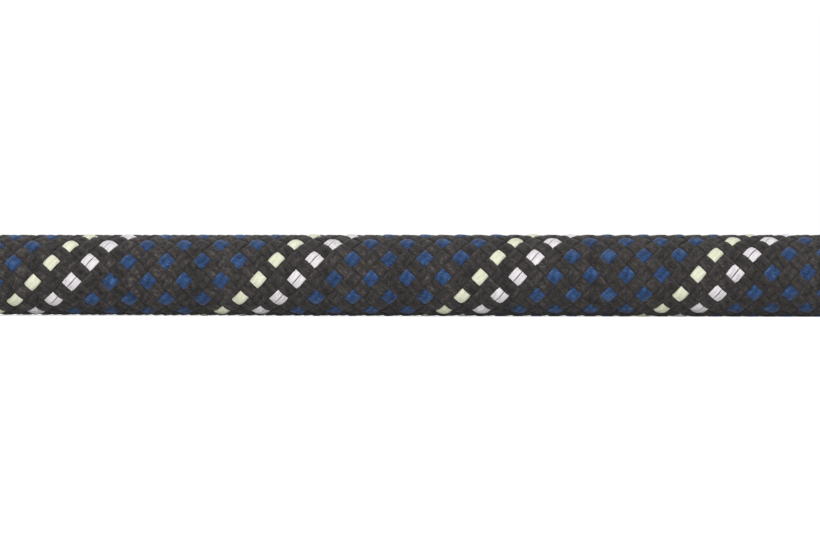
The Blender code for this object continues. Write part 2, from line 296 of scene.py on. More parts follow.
def calc(tree, operation, *values):
    return node(tree, "ShaderNodeMath", dict(enumerate(values)), operation=operation).outputs[0]


def blend(tree, share, first, second):
    """A colour between first and second."""
    mix = node(tree, "ShaderNodeMix", data_type="RGBA")
    for socket, value in ((mix.inputs[0], share), (mix.inputs[6], first), (mix.inputs[7], second)):
        if isinstance(value, bpy.types.NodeSocket):
            tree.links.new(value, socket)
        else:
            socket.default_value = value
    return mix.outputs[2]


def shader_group(name, inputs, outputs):
    group = bpy.data.node_groups.new(name, "ShaderNodeTree")
    for socket in inputs:
        group.interface.new_socket(socket, in_out="INPUT", socket_type="NodeSocketFloat")
    for socket in outputs:
        group.interface.new_socket(socket, in_out="OUTPUT", socket_type="NodeSocketFloat")
    return group, group.nodes.new("NodeGroupInput"), group.nodes.new("NodeGroupOutput")


def finish(name, roughness, **constants):
    """A material with its Principled shader, whose plain numbers are set on its sockets."""
    material = bpy.data.materials.new(name)
    material.use_nodes = True
    shader = material.node_tree.nodes["Principled BSDF"]
    shader.inputs["Roughness"].default_value = roughness
    for socket, value in constants.items():
        shader.inputs[socket.replace("_", " ")].default_value = value
    return material, material.node_tree, shader


def map_coordinates(tree):
    place = node(tree, "ShaderNodeSeparateXYZ", {0: node(tree, "ShaderNodeUVMap").outputs[0]})
    return place.outputs[0], place.outputs[1]


def bumped(tree, shader, height, distance=1.0):
    bump = node(tree, "ShaderNodeBump", {"Height": height, "Distance": distance})
    tree.links.new(bump.outputs["Normal"], shader.inputs["Normal"])


# ---- the camera, the floor and the light ------------------------------------------------


def add_camera():
    lens = bpy.data.cameras.new("photograph_view")
    lens.sensor_width = SENSOR_WIDTH
    lens.lens = SENSOR_WIDTH * CAMERA_DISTANCE / VIEW_WIDTH
    lens.clip_start = NEAREST_SEEN
    camera = bpy.data.objects.new("photograph_view", lens)
    camera.location = (VIEW_X, STRETCH_Y - CAMERA_DISTANCE, ROPE_RADIUS + VIEW_RISE)
    camera.rotation_euler = (pi / 2, CAMERA_ROLL, 0.0)
    bpy.context.scene.collection.objects.link(camera)
    bpy.context.scene.camera = camera


def seen_directly(tree):
    """1 for rays from the camera, and for what gloss and glass show of the background."""
    path = node(tree, "ShaderNodeLightPath").outputs
    either = calc(tree, "MAXIMUM", path["Is Camera Ray"], path["Is Glossy Ray"])
    return calc(tree, "MAXIMUM", either, path["Is Transmission Ray"])


def add_surroundings():
    world = bpy.data.worlds.new("studio")
    bpy.context.scene.world = world
    world.use_nodes = True
    tree = world.node_tree
    tree.nodes.clear()
    lit = node(tree, "ShaderNodeBackground", {"Color": SKY_COLOUR, "Strength": SKY_STRENGTH})
    shown = node(tree, "ShaderNodeBackground", {"Color": WHITE, "Strength": 1.0})
    mixed = node(
        tree, "ShaderNodeMixShader", {0: seen_directly(tree), 1: lit.outputs[0], 2: shown.outputs[0]}
    )
    node(tree, "ShaderNodeOutputWorld", {"Surface": mixed.outputs[0]})

    floor_finish, tree, shader = finish(
        "pale_floor", roughness=0.9, Base_Color=FLOOR_COLOUR, Specular_IOR_Level=0.0, Emission_Strength=1.0
    )
    glow = blend(tree, seen_directly(tree), UNLIT, FLOOR_GLOW)
    tree.links.new(glow, shader.inputs["Emission Color"])
    bm = bmesh.new()
    bmesh.ops.create_grid(bm, x_segments=1, y_segments=1, size=FLOOR_REACH)
    place_in_scene("floor", bm, floor_finish, smooth=False)

    for name, place, size, watts in LAMPS:
        lamp = bpy.data.lights.new(name, "AREA")
        lamp.size = size
        lamp.energy = watts
        stand = bpy.data.objects.new(name, lamp)
        stand.location = place
        aim = Vector((VIEW_X, STRETCH_Y, 0.0)) - stand.location
        stand.rotation_euler = aim.to_track_quat("-Z", "Y").to_euler()
        bpy.context.scene.collection.objects.link(stand)


# ---- the cord's route -------------------------------------------------------------------


def eased(share):
    share = min(max(share, 0.0), 1.0)
    return share * share * (3 - 2 * share)


def waist(x):
    """How much of the waist is felt at x along the hank: 1 at the strap, 0 at the folds."""
    out = (abs(x) - WAIST_FLAT) / (WAIST_HALF_LENGTH - WAIST_FLAT)
    return (1 + cos(pi * min(max(out, 0.0), 1.0))) / 2


def on_turn(radius, height, leg, share):
    """A point on one turn of the hank: radius is the turn's radius at its folds, and share is
    how far along its leg the point is."""
    if leg == FRONT_RUN:
        x, y = -HALF_RUN + 2 * HALF_RUN * share, -radius
    elif leg == RIGHT_FOLD:
        turn = -pi / 2 + pi * share
        x, y = HALF_RUN + radius * cos(turn), radius * sin(turn)
    elif leg == BACK_RUN:
        x, y = HALF_RUN - 2 * HALF_RUN * share, radius
    else:
        turn = pi / 2 + pi * share
        x, y = -HALF_RUN + radius * cos(turn), radius * sin(turn)
    felt = waist(x) if leg in (FRONT_RUN, BACK_RUN) else 0.0
    side = -1 if leg == FRONT_RUN else 1
    return Vector((HANK_X + x, y - side * WAIST_DRAW * felt, height + WAIST_LIFT * felt))


def turn_stations():
    """One turn's stations, as (leg, share), from the start of the front run."""
    stations = []
    for leg in range(4):
        steps = RUN_STEPS if leg in (FRONT_RUN, BACK_RUN) else FOLD_STEPS
        stations += [(leg, step / steps) for step in range(steps)]
    return stations


def winding_moves():
    """Each turn's moves, as (leg, share it starts at, columns out, layers up). Each takes half
    a run. A climb, a step out and a descent never share a half run, so no two turns meet."""
    climb = (BACK_RUN, 0.0, 0, 1)
    sink = (FRONT_RUN, 0.0, 0, -1)
    step_out_on_top = (FRONT_RUN, 0.5, 1, 0)
    step_out_below = (BACK_RUN, 0.5, 1, 0)
    turns = [[] for _ in range(TURNS_ACROSS - 2)]
    rising = True
    climbs = LAYERS - 2
    for _ in range(TURNS_ACROSS - 1):
        if rising:
            turns += [[climb]] * climbs + [[step_out_on_top]]
        else:
            turns += [[sink]] * (climbs - 1) + [[sink, step_out_below]]
        rising = not rising
        climbs = LAYERS - 3
    outer = len(turns) - 1
    turns += [[climb]] * (LAYERS - 2) + [[] for _ in range(TURNS_ACROSS)]
    return turns, outer


def hank_route():
    """The cord's centre through the hank: it spirals in over the floor, fills the columns from
    the innermost out, climbs the outside and spirals in over the top."""
    stations = turn_stations()
    turns, outer = winding_moves()
    bottom_ends = (TURNS_ACROSS - 2) * TURN_STEPS + RUN_STEPS + FOLD_STEPS
    top_starts = (outer + LAYERS - 2) * TURN_STEPS + RUN_STEPS + FOLD_STEPS + SPIRAL_DELAY
    last_run = [-HALF_RUN * (step / RUN_STEPS * 2 - 1) for step in range(0, RUN_STEPS, 2)]
    stops_at = 2 * (sum(x > ROPE_RADIUS - WAIST_HALF_LENGTH for x in last_run) - 1)
    last = top_starts + (TURNS_ACROSS - 1) * TURN_STEPS + stops_at - SPIRAL_DELAY
    route = []
    column = layer = 0.0
    for moves in turns:
        for leg, share in stations:
            number = len(route)
            if number > last:
                break
            here, height = column, layer
            for move_leg, begins, columns, layers in moves:
                done = eased(2 * (share - begins)) if leg == move_leg else float(leg > move_leg)
                here -= columns * done
                height += layers * done
            inward = min(number / bottom_ends, 1.0)
            inward += max(number - top_starts, 0) / (last - top_starts)
            here += (TURNS_ACROSS - 1) * inward
            radius = OUTER_FOLD_RADIUS - TURN_PITCH * here
            route.append(on_turn(radius, ROPE_RADIUS + LAYER_PITCH * height, leg, share))
        column -= sum(move[2] for move in moves)
        layer += sum(move[3] for move in moves)
    return route


def cord_route():
    """Ring centres and radii of the whole cord, from its free end to its wound end."""
    stretch = JOIN_X - CORD_START_X
    xs = [CORD_START_X + stretch * ring / STRETCH_RINGS for ring in range(STRETCH_RINGS)]
    xs += [JOIN_X - SINK_LENGTH, JOIN_X - SINK_LENGTH / 2]
    route = [Vector((x, STRETCH_Y, ROPE_RADIUS)) for x in sorted(xs)]
    radii = [THIN_RADIUS] * (len(xs) - 1) + [JOIN_RADIUS]
    wound = hank_route()
    route += wound
    radii += [ROPE_RADIUS] * len(wound)
    sleeve_end = WOUND_TIP_X + SLEEVE_REACH
    for x, radius in (
        (HANK_X - WAIST_HALF_LENGTH, ROPE_RADIUS),
        (sleeve_end + MOUTH_LENGTH, MOUTH_RADIUS),
        (sleeve_end, SLEEVED_RADIUS),
        (WOUND_TIP_X + STOPS_BEHIND_TIP, SLEEVED_RADIUS),
    ):
        route.append(Vector((x, INNER_FOLD_RADIUS, TOP_LAYER_Z)))
        radii.append(radius)
    return route, radii


def add_cord(material):
    route, radii = cord_route()
    turns = [2 * pi * side / TUBE_SIDES for side in range(TUBE_SIDES)]
    ring = [Vector((cos(turn), sin(turn), 0)) for turn in turns]
    poses = []
    for number, centre in enumerate(route):
        before, after = route[max(number - 1, 0)], route[min(number + 1, len(route) - 1)]
        along = (after - before).normalized()
        side = along.cross(UP).normalized()
        poses.append(pose(centre, side, side.cross(along), along))
    bm = bmesh.new()
    length = sweep(bm, poses, [[radius * corner for corner in ring] for radius in radii])
    bmesh.ops.recalc_face_normals(bm, faces=bm.faces)
    cord = place_in_scene("climbing_rope", bm, material)
    return cord, route, length


# ---- the cover's yarns over the straight stretch ------------------------------------------


def phase(law, x):
    """How many carriers round the rope a yarn family is at x metres from the picture's middle."""
    bend, rate, start = law
    near = min(max(x, -HALF_VIEW), HALF_VIEW)
    return bend * near**2 + rate * near + start + (2 * bend * near + rate) * (x - near)


def drawn_in(x):
    """How far the yarns are drawn in under the sleeve, and where the wound rope takes over."""
    from_sleeve = (SLEEVE_HIGH.x - VIEW_X + SLEEVE_TAPER - x) / SLEEVE_TAPER
    from_join = (x - (JOIN_X - VIEW_X - SINK_LENGTH)) / SINK_LENGTH
    return SINK * max(eased(from_sleeve), eased(from_join))


def yarn_poses(own, other, sign, number, wander, raised, aside):
    """Where one yarn's section goes, and how far up it is there, from -1 to 1. sign is 1 for a
    family that is on top where the two numbers add to an even one, and -1 for the other."""
    start = SLEEVE_LOW.x - VIEW_X + UNDER_SLEEVE
    end = JOIN_X - VIEW_X - SHORT_OF_JOIN
    steps = round((end - start) * CROSSINGS_PER_METRE * RINGS_PER_CROSSING)
    centres, outs, ups = [], [], []
    for step in range(steps + 1):
        x = start + (end - start) * step / steps
        carriers = phase(own, x) + number + wander(x)
        angle = 2 * pi * carriers / CARRIERS
        out = Vector((0, -cos(angle), sin(angle)))
        ups.append(sign * cos(pi * (number + carriers - phase(other, x))))
        radius = YARN_CENTRE * (1 + SWELL * x) + YARN_LIFT * ups[-1] + raised - drawn_in(x)
        round_the_cover = 2 * pi * (carriers - phase(UP_LAW, x) - BUNCHED_AT) / CARRIERS
        shift = COVER_BUNCHING * cos(round_the_cover) - COVER_SKEW * out.z
        axis = Vector((VIEW_X + x + shift, STRETCH_Y, ROPE_RADIUS + CREST_LIFT))
        centres.append(axis + radius * out)
        outs.append(out)
    poses = []
    for step, out in enumerate(outs):
        along = (centres[min(step + 1, steps)] - centres[max(step - 1, 0)]).normalized()
        across = out.cross(along).normalized()
        poses.append(pose(centres[step] + aside * across, across, along.cross(across), along))
    return poses, ups


def wandering(random):
    """A yarn never lies dead true: its sideways drift, in carriers, at x metres."""
    waves = [
        (random.uniform(*WANDER_RATES), random.uniform(0, 2 * pi), random.uniform(*WANDER_SIZES))
        for _ in range(WANDER_WAVES)
    ]
    return lambda x: sum(size * sin(rate * x + shift) for rate, shift, size in waves)


def add_yarns(
    name, numbers, down, section, material, random, raised=0.0, asides=(0.0,), spread=YARN_SPREAD
):
    """The yarns of some carriers. A yarn spreads where it is on top and is squeezed below."""
    own, other, sign = (DOWN_LAW, UP_LAW, -1) if down else (UP_LAW, DOWN_LAW, 1)
    bm = bmesh.new()
    for number in numbers:
        wander = wandering(random)
        for aside in asides:
            poses, ups = yarn_poses(own, other, sign, number, wander, raised, aside)
            lean = FILM_LEAN * (aside > 0) - FILM_LEAN * (aside < 0)
            sections = [
                [Vector((c.x * (1 + spread * up), c.y - lean * c.x, 0)) for c in section] for up in ups
            ]
            sweep(bm, poses, sections)
    for corner in bm.verts:
        corner.co.z = max(corner.co.z, RESTS_AT)
    bmesh.ops.recalc_face_normals(bm, faces=bm.faces)
    return place_in_scene(name, bm, material)


# ---- the ends ---------------------------------------------------------------------------


def turned(name, loop, tip, bulge, material):
    """A solid turned about an end's axis, from a loop of (x from the tip, radius) pairs. bulge
    gives how far its skin stands out at an x and an angle."""
    bm = bmesh.new()
    corners = [bm.verts.new(tip + Vector((x, 0, radius))) for x, radius in loop]
    edges = [bm.edges.new(pair) for pair in zip(corners, corners[1:] + corners[:1])]
    bmesh.ops.spin(
        bm,
        geom=corners + edges,
        cent=tip,
        axis=(1, 0, 0),
        angle=2 * pi,
        steps=END_SIDES,
        use_merge=True,
    )
    on_axis = [c for c in bm.verts if hypot(c.co.y - tip.y, c.co.z - tip.z) < ON_AXIS]
    bmesh.ops.remove_doubles(bm, verts=on_axis, dist=ON_AXIS)
    bmesh.ops.dissolve_degenerate(bm, dist=NO_LENGTH, edges=bm.edges[:])
    for corner in bm.verts:
        spoke = Vector((0, corner.co.y - tip.y, corner.co.z - tip.z))
        stands_out = bulge(corner.co.x - tip.x, atan2(spoke.z, spoke.y)) * spoke.length / ROPE_RADIUS
        corner.co += spoke.normalized() * stands_out
    bmesh.ops.recalc_face_normals(bm, faces=bm.faces)
    return place_in_scene(name, bm, material)


def add_end(prefix, tip, sleeve_material, tip_material, random):
    """A shrunk sleeve, with the braid faint under it, and the melted tip in its mouth."""
    length = SLEEVE_REACH - TIP_SHOWS
    inside = ROPE_RADIUS - SLEEVE_WALL
    loop = [(TIP_SHOWS + length, inside), (TIP_SHOWS, inside)]
    for step in range(END_STEPS + 1):
        along = length * (1 - cos(pi * step / END_STEPS)) / 2
        rolled = 1 - eased(min(along, length - along) / SLEEVE_WALL)
        loop.append((TIP_SHOWS + along, ROPE_RADIUS - BRAID_PRINT - SLEEVE_WALL / 2 * rolled))
    lay = pi * UP_LAW[1]

    def print_through(x, angle):
        turn = CARRIERS / 2 * angle
        return BRAID_PRINT * cos(turn + lay * x) * cos(turn - lay * x)

    waves = [
        (random.randint(*LUMPS_ROUND), random.uniform(0, 2 * pi), random.uniform(*LUMP_RATES))
        for _ in range(LUMP_WAVES)
    ]

    def melted(x, angle):
        lumps = sum(sin(count * angle + rate * x + shift) for count, shift, rate in waves)
        return LUMP_HEIGHT * lumps - MELTED_AWAY

    dome = []
    for step in range(DOME_STEPS):
        turn = pi / 2 * step / DOME_STEPS
        dome.append((TIP_LENGTH * (1 - sin(turn)), NECK_RADIUS * cos(turn) ** DOME_FULLNESS))
    tip_loop = [(0.0, 0.0), (TIP_LENGTH, 0.0), *dome]
    return [
        turned(prefix + "_shrunk_sleeve", loop, tip, print_through, sleeve_material),
        turned(prefix + "_melted_tip", tip_loop, tip, melted, tip_material),
    ]


# ---- the strap --------------------------------------------------------------------------


def sagged(value, turns):
    """How far the band dips between two turns of the rope, at a place beside them."""
    nearest = min(abs(value - turn) for turn in turns)
    return STRAP_SAG * (1 - cos(2 * pi * min(nearest / TURN_PITCH, 0.5))) / 2


def band(width, half_thickness):
    return oval(width, half_thickness, half_thickness, STRAP_SQUARENESS, points=STRAP_POINTS)


def strap_poses(route):
    """Round the waist, from the middle of the top and back to it."""
    half = STRAP_THICKNESS / 2
    corner = ROPE_RADIUS + TOUCH_GAP + half
    wide = STRAP_HIGH.y - half - corner
    low = STRAP_LOW.z + half + corner
    high = STRAP_HIGH.z - half - corner
    start = (Vector((HANK_X, 0, STRAP_HIGH.z - half)), UP)
    stops = [start]
    for y, z, begins in ((wide, high, pi / 2), (wide, low, 0), (-wide, low, -pi / 2), (-wide, high, -pi)):
        for step in range(CORNER_STEPS + 1):
            turn = begins - pi / 2 * step / CORNER_STEPS
            out = Vector((0, cos(turn), sin(turn)))
            stops.append((Vector((HANK_X, y, z)) + corner * out, out))
    stops.append(start)
    at_waist = [point for point in route if abs(point.x - HANK_X) < TOUCH_GAP]
    on_top = [point.y for point in at_waist if point.z > TOP_LAYER_Z]
    beside = [point.z for point in at_waist if abs(point.y) > wide - TOUCH_GAP]
    path = []
    for (here, out), (there, next_out) in zip(stops, stops[1:]):
        steps = max(1, round((there - here).length / STRAP_STEP))
        for step in range(steps):
            way = out.lerp(next_out, step / steps).normalized()
            point = here.lerp(there, step / steps)
            if way.z > FACES_FLAT:
                point.z -= sagged(point.y, on_top)
            elif abs(way.y) > FACES_FLAT:
                point.y -= way.y * sagged(point.z, beside)
            path.append((point, way))
    path.append(path[0])
    poses = []
    for number, (point, out) in enumerate(path):
        along = (path[min(number + 1, len(path) - 1)][0] - path[max(number - 1, 0)][0]).normalized()
        poses.append(pose(point, RIGHT, out, along))
    return poses


def add_strap(route, material):
    bm = bmesh.new()
    poses = strap_poses(route)
    sweep(bm, poses, [band(STRAP_WIDTH, STRAP_THICKNESS / 2)] * len(poses))
    bmesh.ops.recalc_face_normals(bm, faces=bm.faces)
    return place_in_scene("waist_strap", bm, material)


def add_tab(material):
    """The strap's hooked end, with its two outer corners rounded."""
    bm = bmesh.new()
    middle, half = (TAB_LOW.z + TAB_HIGH.z) / 2, (TAB_HIGH.z - TAB_LOW.z) / 2
    length = TAB_HIGH.y - TAB_LOW.y
    poses, sections = [], []
    for step in range(TAB_STEPS + 1):
        reached = length * (1 - cos(pi * step / TAB_STEPS)) / 2
        poses.append(pose(Vector((HANK_X, TAB_LOW.y + reached, middle)), RIGHT, UP, BACK))
        cut = max(1 - reached / TAB_CORNER_RADIUS, 0.0)
        narrowed = 2 * TAB_CORNER_RADIUS * (1 - sqrt(1 - min(cut, TAB_CORNER_CUT) ** 2))
        edge = min(reached, length - reached) / half
        rounded = sqrt(1 - max(1 - edge, 0.0) ** 2)
        thickness = TAB_TIP_THICKNESS + (1 - TAB_TIP_THICKNESS) * rounded
        sections.append(band(STRAP_WIDTH - narrowed, half * thickness))
    sweep(bm, poses, sections)
    bmesh.ops.recalc_face_normals(bm, faces=bm.faces)
    return place_in_scene("strap_hook_tab", bm, material)


def add_stitches(material, random):
    """A box with a cross in it, sewn through the tab's square end."""
    near = TAB_HIGH.y - STITCH_BOX_STARTS
    far = TAB_HIGH.y - STITCH_BOX_ENDS
    side = STRAP_WIDTH / 2 - STITCH_MARGIN
    lines = [
        ((-side, near), (side, near)), ((side, near), (side, far)), ((side, far), (-side, far)),
        ((-side, far), (-side, near)), ((-side, near), (side, far)), ((side, near), (-side, far)),
    ]
    bm = bmesh.new()
    thread = STITCH_THICKNESS / 2
    for start, end in lines:
        start, end = Vector((*start, 0)), Vector((*end, 0))
        line = end - start
        count = round(line.length / STITCH_PITCH)
        along = line.normalized()
        across = UP.cross(along)
        for number in range(count):
            middle = start + line * (number + 0.5 + random.uniform(-STITCH_SHIFT, STITCH_SHIFT)) / count
            middle += Vector((HANK_X, 0, TAB_HIGH.z - thread * STITCH_SUNK))
            poses, sections = [], []
            for step in range(STITCH_STEPS + 1):
                share = step / STITCH_STEPS * 2 - 1
                rise = Vector((0, 0, thread * (1 - STITCH_DIVE * share**2)))
                poses.append(pose(middle + along * share * STITCH_LENGTH / 2 + rise, across, UP, along))
                width = STITCH_THICKNESS * (1 - STITCH_TAPER * share**2)
                half = thread * STITCH_FLATNESS
                sections.append(oval(width, half, half, squareness=2.0, points=STITCH_POINTS))
            sweep(bm, poses, sections)
    bmesh.ops.recalc_face_normals(bm, faces=bm.faces)
    return place_in_scene("tab_stitches", bm, material)


# ---- materials --------------------------------------------------------------------------

BLACK_TONES = (srgb(25, 23, 23), srgb(44, 41, 40), srgb(56, 52, 51), srgb(88, 84, 81))
BLUE_TONES = (srgb(17, 34, 63), srgb(31, 56, 94), srgb(42, 71, 112), srgb(70, 103, 151))
CREAM_TONES = (srgb(192, 193, 166), srgb(208, 209, 184), srgb(214, 215, 192), srgb(224, 224, 206))
FILM_TONES = (srgb(176, 171, 173), srgb(205, 200, 203), srgb(216, 212, 214), srgb(224, 221, 222))
STRAP_TONES = (srgb(20, 20, 22), srgb(44, 45, 48), srgb(66, 67, 71), srgb(104, 105, 108))
NYLON_TONES = (srgb(206, 203, 194), srgb(226, 224, 216), srgb(240, 239, 233))
MARKER_TONES = (srgb(214, 186, 84), srgb(228, 204, 98), srgb(236, 216, 118))
SLEEVE_TONES = (srgb(24, 24, 26), srgb(32, 32, 34), srgb(44, 44, 46))
MELTED_TONES = (srgb(14, 14, 16), srgb(24, 23, 24), srgb(40, 37, 36))
THREAD_TONES = (srgb(120, 122, 126), srgb(160, 162, 166), srgb(190, 192, 196))

# A plied yarn: the width and length of its fibres' streaks and of its patches, how much fibres,
# patches and plies stand out and lighten it, with painted shade in the grooves between the plies,
# and how dark the painted shade along its edges is, where the yarn tucks under its neighbours.
FIBRE_STREAK = (0.00008, 0.0005)
PATCH_STREAK = (0.0011, 0.0022)
PLIES = 3.0
PLY_WANDER = 1.2
FIBRE_RELIEF = 0.7
PLY_RELIEF = 0.6
FIBRE_SHADE = 1.6
PATCH_SHADE = 0.8
PAINTED_PLY_SHADE = 0.3
BASE_SHADE = -0.95
PAINTED_EDGE_SHADE = 0.65
EDGE_STEEPNESS = 3.0
COVER_SHEEN_ROUGHNESS = 0.5

# The wound cover: how far a yarn's crown falls at its edge, how much its plies stand out, and the
# painted shade in the hollows between the yarns: how deep it reaches, how dark it gets and its colour.
CROWN_FALL = 0.0003
WOUND_PLY_RELIEF = 0.00005
HOLLOW_SHADE_DEPTH = 0.0004
HOLLOW_SHADE_LEVEL = 0.8
HOLLOW_SHADE_LIMIT = 0.3
HOLLOW_SHADE_COLOUR = (0.004, 0.004, 0.004, 1.0)

# The webbing: its ribs and the weft across them, and how much each stands out and lightens it,
# with painted shade: the colour darker in the weave's low places and lighter on its high ones.
RIB_PITCH = 0.0013
WEFT_PITCH = 0.0016
RIB_RELIEF = 0.7
WEFT_RELIEF = 0.5
WEAVE_PAINTED_SHADE = 0.75
WEBBING_SHADE = -0.55
WEBBING_FIBRES = 6000.0
WEBBING_FIBRE_RELIEF = 0.3

# How far a mottled surface's roughness wanders in all.
GLOSS_WANDER = 0.3


def make_plied_yarn():
    """Twisted plies beside each other in a yarn, the streaks of their fibres and their slant."""
    tree, source, result = shader_group(
        "plied_yarn", ("Across", "Along", "Width", "Plies", "Slant"), ("Height", "Shade")
    )
    across, along, width, plies, slant = source.outputs[:5]
    aside = calc(tree, "MULTIPLY", across, width)
    lean, stand = calc(tree, "SINE", slant), calc(tree, "COSINE", slant)
    over = calc(tree, "SUBTRACT", calc(tree, "MULTIPLY", aside, stand), calc(tree, "MULTIPLY", along, lean))
    onward = calc(tree, "ADD", calc(tree, "MULTIPLY", aside, lean), calc(tree, "MULTIPLY", along, stand))

    def streaks(fine, long, detail):
        place = {0: calc(tree, "DIVIDE", over, fine), 1: calc(tree, "DIVIDE", onward, long)}
        spot = node(tree, "ShaderNodeCombineXYZ", place).outputs[0]
        inputs = {"Vector": spot, "Scale": 1.0, "Detail": detail, "Roughness": 0.6}
        return node(tree, "ShaderNodeTexNoise", inputs, noise_dimensions="2D").outputs[0]

    fibre = streaks(*FIBRE_STREAK, detail=2.0)
    patch = streaks(*PATCH_STREAK, detail=1.0)
    shifted = calc(tree, "MULTIPLY_ADD", patch, PLY_WANDER, calc(tree, "MULTIPLY", across, plies))
    ridge = calc(tree, "ABSOLUTE", calc(tree, "SINE", calc(tree, "MULTIPLY", shifted, pi)))
    height = calc(tree, "MULTIPLY_ADD", fibre, FIBRE_RELIEF, calc(tree, "MULTIPLY", ridge, PLY_RELIEF))
    tree.links.new(height, result.inputs["Height"])
    shade = calc(tree, "MULTIPLY_ADD", fibre, FIBRE_SHADE, BASE_SHADE - PAINTED_EDGE_SHADE)
    shade = calc(tree, "MULTIPLY_ADD", patch, PATCH_SHADE, shade)
    # Painted shade: the colour darkens in the grooves between the plies.
    shade = calc(tree, "MULTIPLY_ADD", ridge, PAINTED_PLY_SHADE, shade)
    # Painted shade: the colour darkens towards the yarn's edges, where it tucks under its neighbours.
    bulge = calc(tree, "SINE", calc(tree, "MULTIPLY", across, pi))
    off_edge = calc(tree, "MINIMUM", calc(tree, "MULTIPLY", bulge, EDGE_STEEPNESS), 1.0)
    shade = calc(tree, "MULTIPLY_ADD", off_edge, PAINTED_EDGE_SHADE, shade)
    tree.links.new(shade, result.inputs["Shade"])
    return tree


def toned(tree, tones, shade):
    """The colour that a shade from 0 to 1 has on a scale of tones."""
    ramp = node(tree, "ShaderNodeValToRGB", {0: shade})
    stops = ramp.color_ramp.elements
    stops[0].color, stops[1].color = tones[0], tones[-1]
    for number, tone in enumerate(tones[1:-1]):
        stops.new((number + 1) / (len(tones) - 1)).color = tone
    return ramp.outputs[0]


def plies_of(tree, plied, across, along, width, slant):
    made = node(tree, "ShaderNodeGroup", node_tree=plied)
    tree.links.new(across, made.inputs["Across"])
    tree.links.new(along, made.inputs["Along"])
    made.inputs["Width"].default_value = width
    made.inputs["Plies"].default_value = PLIES
    made.inputs["Slant"].default_value = slant
    return made.outputs["Height"], made.outputs["Shade"]


def yarn_finish(
    name, plied, tones, width, slant=-0.18, roughness=0.8, gloss=0.2, sheen=0.08, relief=0.00011
):
    """tones are the yarn's colours from its painted shade in the hollows to its loose fibres."""
    material, tree, shader = finish(
        name,
        roughness,
        Specular_IOR_Level=gloss,
        Sheen_Weight=sheen,
        Sheen_Roughness=COVER_SHEEN_ROUGHNESS,
    )
    around, along = map_coordinates(tree)
    across = calc(tree, "MULTIPLY", around, 2.0)
    height, shade = plies_of(tree, plied, across, along, width, slant)
    tree.links.new(toned(tree, tones, shade), shader.inputs["Base Color"])
    bumped(tree, shader, height, distance=relief)
    return material


def make_braid():
    """The woven cover as a pattern, from a point's place among the yarns of either way: which
    yarn is on top, how high it stands, its number and the point's place across it."""
    tree, source, result = shader_group(
        "braid", ("Up", "Down"), ("Height", "Up On Top", "Number", "Across")
    )
    up, down = source.outputs[:2]
    up_number, down_number = calc(tree, "ROUND", up), calc(tree, "ROUND", down)
    heights, acrosses = [], []
    for own, number, other, sign in ((up, up_number, down, 1.0), (down, down_number, up, -1.0)):
        wave = calc(tree, "COSINE", calc(tree, "MULTIPLY", calc(tree, "ADD", number, other), pi))
        aside = calc(tree, "SUBTRACT", own, number)
        squared = calc(tree, "MULTIPLY", aside, aside)
        crown = calc(tree, "MULTIPLY", calc(tree, "MULTIPLY", squared, squared), -CROWN_FALL / 0.5**4)
        heights.append(calc(tree, "MULTIPLY_ADD", wave, sign * YARN_LIFT, crown))
        acrosses.append(calc(tree, "ADD", aside, 0.5))
    on_top = calc(tree, "GREATER_THAN", heights[0], heights[1])
    tree.links.new(calc(tree, "MAXIMUM", *heights), result.inputs["Height"])
    tree.links.new(on_top, result.inputs["Up On Top"])
    tree.links.new(calc(tree, "FLOORED_MODULO", up_number, float(CARRIERS)), result.inputs["Number"])
    either = node(tree, "ShaderNodeMix", {0: on_top, 2: acrosses[1], 3: acrosses[0]}, data_type="FLOAT")
    tree.links.new(either.outputs[0], result.inputs["Across"])
    return tree


def wound_cover_finish(braid, plied, join_measure):
    """The cover of the wound rope: the same braid, carried on from where the yarns end."""
    material, tree, shader = finish(
        "wound_cover",
        roughness=0.78,
        Specular_IOR_Level=0.2,
        Sheen_Weight=0.08,
        Sheen_Roughness=COVER_SHEEN_ROUGHNESS,
    )
    share, measure = map_coordinates(tree)
    along = calc(tree, "SUBTRACT", measure, join_measure)
    around = calc(tree, "MULTIPLY", share, float(CARRIERS))
    made = node(tree, "ShaderNodeGroup", node_tree=braid)
    for socket, law in (("Up", UP_LAW), ("Down", DOWN_LAW)):
        rate = 2 * law[0] * HALF_VIEW + law[1]
        start = phase(law, JOIN_X - VIEW_X) % CARRIERS
        turned_on = calc(tree, "MULTIPLY_ADD", along, -rate, -start)
        tree.links.new(calc(tree, "ADD", around, turned_on), made.inputs[socket])
    number, on_top = made.outputs["Number"], made.outputs["Up On Top"]
    height, shade = plies_of(tree, plied, made.outputs["Across"], along, width=0.0017, slant=0.18)
    even = calc(tree, "SUBTRACT", 1.0, calc(tree, "FLOORED_MODULO", number, 2.0))
    coloured = calc(tree, "MULTIPLY", even, on_top)
    colour = blend(tree, coloured, toned(tree, BLACK_TONES, shade), toned(tree, BLUE_TONES, shade))
    for which, tones in ((CREAM_NUMBER, CREAM_TONES), (WHITE_NUMBER, FILM_TONES)):
        chosen = calc(tree, "MULTIPLY", on_top, calc(tree, "COMPARE", number, float(which), 0.5))
        colour = blend(tree, chosen, colour, toned(tree, tones, shade))
    # Painted shade: the colour darkens towards near black in the hollows, by the braid's height there.
    hollow_shade = calc(tree, "MULTIPLY_ADD", made.outputs["Height"], 1 / HOLLOW_SHADE_DEPTH, HOLLOW_SHADE_LEVEL)
    shaded = node(tree, "ShaderNodeClamp", {0: hollow_shade, 1: HOLLOW_SHADE_LIMIT, 2: 1.0}).outputs[0]
    tree.links.new(blend(tree, shaded, HOLLOW_SHADE_COLOUR, colour), shader.inputs["Base Color"])
    relief = calc(tree, "MULTIPLY_ADD", height, WOUND_PLY_RELIEF, made.outputs["Height"])
    bumped(tree, shader, relief)
    return material


